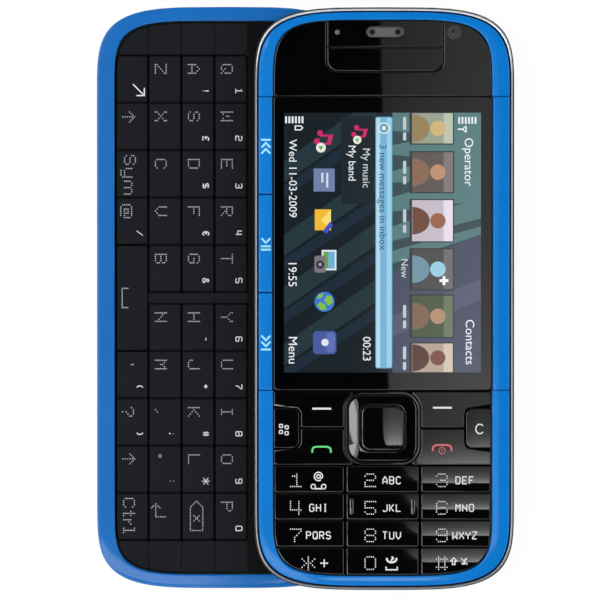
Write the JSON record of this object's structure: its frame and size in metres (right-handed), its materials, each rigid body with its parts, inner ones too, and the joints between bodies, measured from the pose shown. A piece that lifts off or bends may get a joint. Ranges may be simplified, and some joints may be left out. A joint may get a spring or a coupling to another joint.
{
  "type": "slider phone",
  "caption": "Mobile phone whose display half, with window and number pad, slides sideways off a half with a letter keyboard.",
  "frame": {"origin": "middle of the keyboard half's back face, which is what the phone lies on", "axes": "+Y towards the earpiece end along the longest side, +X towards the side that the display half is slid out to, +Z out of the display"},
  "size_m": [0.0803, 0.1123, 0.0154],
  "materials": {
    "housing_blue": "satin painted plastic",
    "rim_blue": "metallic blue lacquer with lighter polished edges",
    "ring_blue": "metallic blue lacquer",
    "letter_key_black": "fine matt moulded caps with printed letters",
    "deck_black": "matt black moulding",
    "cover_black": "fine grained soft black",
    "pad_gloss_black": "polished black with printed characters",
    "window_black": "polished hard window, black behind its edge",
    "silver_trim": "polished silver plating",
    "side_key_silver": "satin silver plating",
    "steel": "rolled sheet steel",
    "circuit_board": "green solder resist",
    "battery_wrap": "printed wrap, dark grey",
    "lens_glass": "dark lens glass",
    "flash_lens": "clear lens over a pale lamp"
  },
  "bodies": {
    "keyboard_half": {"rear_housing": "housing_blue", "keyboard_frame": "rim_blue", "keyboard_deck": "deck_black", "main_board": "circuit_board", "battery": "battery_wrap", "rear_camera": "lens_glass", "camera_window": "window_black", "flash_led": "flash_lens", "loudspeaker": "deck_black", "usb_socket": "steel", "headset_jack": "deck_black", "slide_guide": "steel"},
    "display_half": {"slider_back_cover": "cover_black", "slide_rail": "steel", "chrome_trim": "silver_trim", "slider_board": "circuit_board", "front_frame": "ring_blue", "top_panel": "pad_gloss_black", "earpiece": "steel", "front_camera": "lens_glass", "light_sensor": "lens_glass", "display_window": "window_black", "display_panel": "deck_black", "right_accent_bar": "ring_blue"},
    "battery_cover": {"battery_cover": "cover_black"},
    "usb_door": {"usb_door": "housing_blue"},
    "volume_rocker": {"volume_rocker": "side_key_silver"},
    "camera_key": {"camera_key": "side_key_silver"},
    "power_key": {"power_key": "side_key_silver"},
    "slide_spring": {"slide_spring": "steel"},
    "qwerty_top_row": {"qwerty_top_row": "letter_key_black"},
    "qwerty_home_row": {"qwerty_home_row": "letter_key_black"},
    "qwerty_lower_row": {"qwerty_lower_row": "letter_key_black"},
    "qwerty_bottom_left": {"qwerty_bottom_left": "letter_key_black"},
    "space_bar": {"space_bar": "letter_key_black"},
    "qwerty_bottom_right": {"qwerty_bottom_right": "letter_key_black"},
    "music_prev": {"music_prev": "ring_blue"},
    "music_play": {"music_play": "ring_blue"},
    "music_next": {"music_next": "ring_blue"},
    "dpad_pivot": {"dpad_pivot": "deck_black"},
    "dpad_ring": {"dpad_ring": "pad_gloss_black"},
    "select_key": {"select_key": "pad_gloss_black"},
    "soft_key_left": {"soft_key_left": "pad_gloss_black"},
    "soft_key_right": {"soft_key_right": "pad_gloss_black"},
    "call_key": {"call_key": "pad_gloss_black"},
    "end_key": {"end_key": "pad_gloss_black"},
    "menu_key": {"menu_key": "pad_gloss_black"},
    "clear_key": {"clear_key": "pad_gloss_black"},
    "key_1": {"key_1": "pad_gloss_black"},
    "key_2": {"key_2": "pad_gloss_black"},
    "key_3": {"key_3": "pad_gloss_black"},
    "key_4": {"key_4": "pad_gloss_black"},
    "key_5": {"key_5": "pad_gloss_black"},
    "key_6": {"key_6": "pad_gloss_black"},
    "key_7": {"key_7": "pad_gloss_black"},
    "key_8": {"key_8": "pad_gloss_black"},
    "key_9": {"key_9": "pad_gloss_black"},
    "key_star": {"key_star": "pad_gloss_black"},
    "key_0": {"key_0": "pad_gloss_black"},
    "key_hash": {"key_hash": "pad_gloss_black"}
  },
  "joints": [
    {"name": "display_slide", "type": "slide", "parent": "keyboard_half", "child": "display_half", "axis": [-1, 0, 0], "range_m": [0, 0.03025]},
    {"name": "battery_cover_slide", "type": "slide", "parent": "keyboard_half", "child": "battery_cover", "axis": [0, -1, 0], "range_m": [0, 0.01]},
    {"name": "usb_door_hinge", "type": "hinge", "parent": "keyboard_half", "child": "usb_door", "pos_m": [-0.0244, -0.029, 0.0029], "axis": [0, -1, 0], "range_deg": [0, 95]},
    {"name": "volume_rocker_tilt", "type": "hinge", "parent": "keyboard_half", "child": "volume_rocker", "pos_m": [0.0237, 0.028, 0.0036], "axis": [0, 0, 1], "range_deg": [-1.8, 1.8], "stiffness_Nm_per_rad": 0.3},
    {"name": "camera_key_press", "type": "slide", "parent": "keyboard_half", "child": "camera_key", "axis": [-1, 0, 0], "range_m": [0, 0.0004], "stiffness_N_per_m": 1500},
    {"name": "power_key_press", "type": "slide", "parent": "keyboard_half", "child": "power_key", "axis": [0, -1, 0], "range_m": [0, 0.0003], "stiffness_N_per_m": 1500},
    {"name": "spring_swing", "type": "hinge", "parent": "keyboard_half", "child": "slide_spring", "pos_m": [0.01512, -0.00756, 0.0104], "axis": [0, 0, 1], "range_deg": [0, 90.5], "deforming": ["slide_spring"]},
    {"name": "qwerty_top_row_press", "type": "slide", "parent": "keyboard_half", "child": "qwerty_top_row", "axis": [0, 0, -1], "range_m": [0, 0.0003], "stiffness_N_per_m": 1500},
    {"name": "qwerty_home_row_press", "type": "slide", "parent": "keyboard_half", "child": "qwerty_home_row", "axis": [0, 0, -1], "range_m": [0, 0.0003], "stiffness_N_per_m": 1500},
    {"name": "qwerty_lower_row_press", "type": "slide", "parent": "keyboard_half", "child": "qwerty_lower_row", "axis": [0, 0, -1], "range_m": [0, 0.0003], "stiffness_N_per_m": 1500},
    {"name": "qwerty_bottom_left_press", "type": "slide", "parent": "keyboard_half", "child": "qwerty_bottom_left", "axis": [0, 0, -1], "range_m": [0, 0.0003], "stiffness_N_per_m": 1500},
    {"name": "space_bar_press", "type": "slide", "parent": "keyboard_half", "child": "space_bar", "axis": [0, 0, -1], "range_m": [0, 0.0003], "stiffness_N_per_m": 1500},
    {"name": "qwerty_bottom_right_press", "type": "slide", "parent": "keyboard_half", "child": "qwerty_bottom_right", "axis": [0, 0, -1], "range_m": [0, 0.0003], "stiffness_N_per_m": 1500},
    {"name": "music_prev_press", "type": "slide", "parent": "display_half", "child": "music_prev", "axis": [0, 0, -1], "range_m": [0, 0.0003], "stiffness_N_per_m": 1500},
    {"name": "music_play_press", "type": "slide", "parent": "display_half", "child": "music_play", "axis": [0, 0, -1], "range_m": [0, 0.0003], "stiffness_N_per_m": 1500},
    {"name": "music_next_press", "type": "slide", "parent": "display_half", "child": "music_next", "axis": [0, 0, -1], "range_m": [0, 0.0003], "stiffness_N_per_m": 1500},
    {"name": "dpad_tilt_up_down", "type": "hinge", "parent": "display_half", "child": "dpad_pivot", "pos_m": [0.02995, -0.02478, 0.01285], "axis": [1, 0, 0], "range_deg": [-1.5, 1.5], "stiffness_Nm_per_rad": 0.2},
    {"name": "dpad_tilt_left_right", "type": "hinge", "parent": "dpad_pivot", "child": "dpad_ring", "pos_m": [0.02995, -0.02478, 0.01285], "axis": [0, 1, 0], "range_deg": [-1.5, 1.5], "stiffness_Nm_per_rad": 0.2},
    {"name": "select_key_press", "type": "slide", "parent": "display_half", "child": "select_key", "axis": [0, 0, -1], "range_m": [0, 0.0003], "stiffness_N_per_m": 1500},
    {"name": "soft_key_left_press", "type": "slide", "parent": "display_half", "child": "soft_key_left", "axis": [0, 0, -1], "range_m": [0, 0.0003], "stiffness_N_per_m": 1500},
    {"name": "soft_key_right_press", "type": "slide", "parent": "display_half", "child": "soft_key_right", "axis": [0, 0, -1], "range_m": [0, 0.0003], "stiffness_N_per_m": 1500},
    {"name": "call_key_press", "type": "slide", "parent": "display_half", "child": "call_key", "axis": [0, 0, -1], "range_m": [0, 0.0003], "stiffness_N_per_m": 1500},
    {"name": "end_key_press", "type": "slide", "parent": "display_half", "child": "end_key", "axis": [0, 0, -1], "range_m": [0, 0.0003], "stiffness_N_per_m": 1500},
    {"name": "menu_key_press", "type": "slide", "parent": "display_half", "child": "menu_key", "axis": [0, 0, -1], "range_m": [0, 0.0003], "stiffness_N_per_m": 1500},
    {"name": "clear_key_press", "type": "slide", "parent": "display_half", "child": "clear_key", "axis": [0, 0, -1], "range_m": [0, 0.0003], "stiffness_N_per_m": 1500},
    {"name": "key_1_press", "type": "slide", "parent": "display_half", "child": "key_1", "axis": [0, 0, -1], "range_m": [0, 0.0003], "stiffness_N_per_m": 1500},
    {"name": "key_2_press", "type": "slide", "parent": "display_half", "child": "key_2", "axis": [0, 0, -1], "range_m": [0, 0.0003], "stiffness_N_per_m": 1500},
    {"name": "key_3_press", "type": "slide", "parent": "display_half", "child": "key_3", "axis": [0, 0, -1], "range_m": [0, 0.0003], "stiffness_N_per_m": 1500},
    {"name": "key_4_press", "type": "slide", "parent": "display_half", "child": "key_4", "axis": [0, 0, -1], "range_m": [0, 0.0003], "stiffness_N_per_m": 1500},
    {"name": "key_5_press", "type": "slide", "parent": "display_half", "child": "key_5", "axis": [0, 0, -1], "range_m": [0, 0.0003], "stiffness_N_per_m": 1500},
    {"name": "key_6_press", "type": "slide", "parent": "display_half", "child": "key_6", "axis": [0, 0, -1], "range_m": [0, 0.0003], "stiffness_N_per_m": 1500},
    {"name": "key_7_press", "type": "slide", "parent": "display_half", "child": "key_7", "axis": [0, 0, -1], "range_m": [0, 0.0003], "stiffness_N_per_m": 1500},
    {"name": "key_8_press", "type": "slide", "parent": "display_half", "child": "key_8", "axis": [0, 0, -1], "range_m": [0, 0.0003], "stiffness_N_per_m": 1500},
    {"name": "key_9_press", "type": "slide", "parent": "display_half", "child": "key_9", "axis": [0, 0, -1], "range_m": [0, 0.0003], "stiffness_N_per_m": 1500},
    {"name": "key_star_press", "type": "slide", "parent": "display_half", "child": "key_star", "axis": [0, 0, -1], "range_m": [0, 0.0003], "stiffness_N_per_m": 1500},
    {"name": "key_0_press", "type": "slide", "parent": "display_half", "child": "key_0", "axis": [0, 0, -1], "range_m": [0, 0.0003], "stiffness_N_per_m": 1500},
    {"name": "key_hash_press", "type": "slide", "parent": "display_half", "child": "key_hash", "axis": [0, 0, -1], "range_m": [0, 0.0003], "stiffness_N_per_m": 1500}
  ],
  "couplings": [
    {"joint": "spring_swing", "follows": "display_slide", "rad_per_m": 51.927}
  ]
}
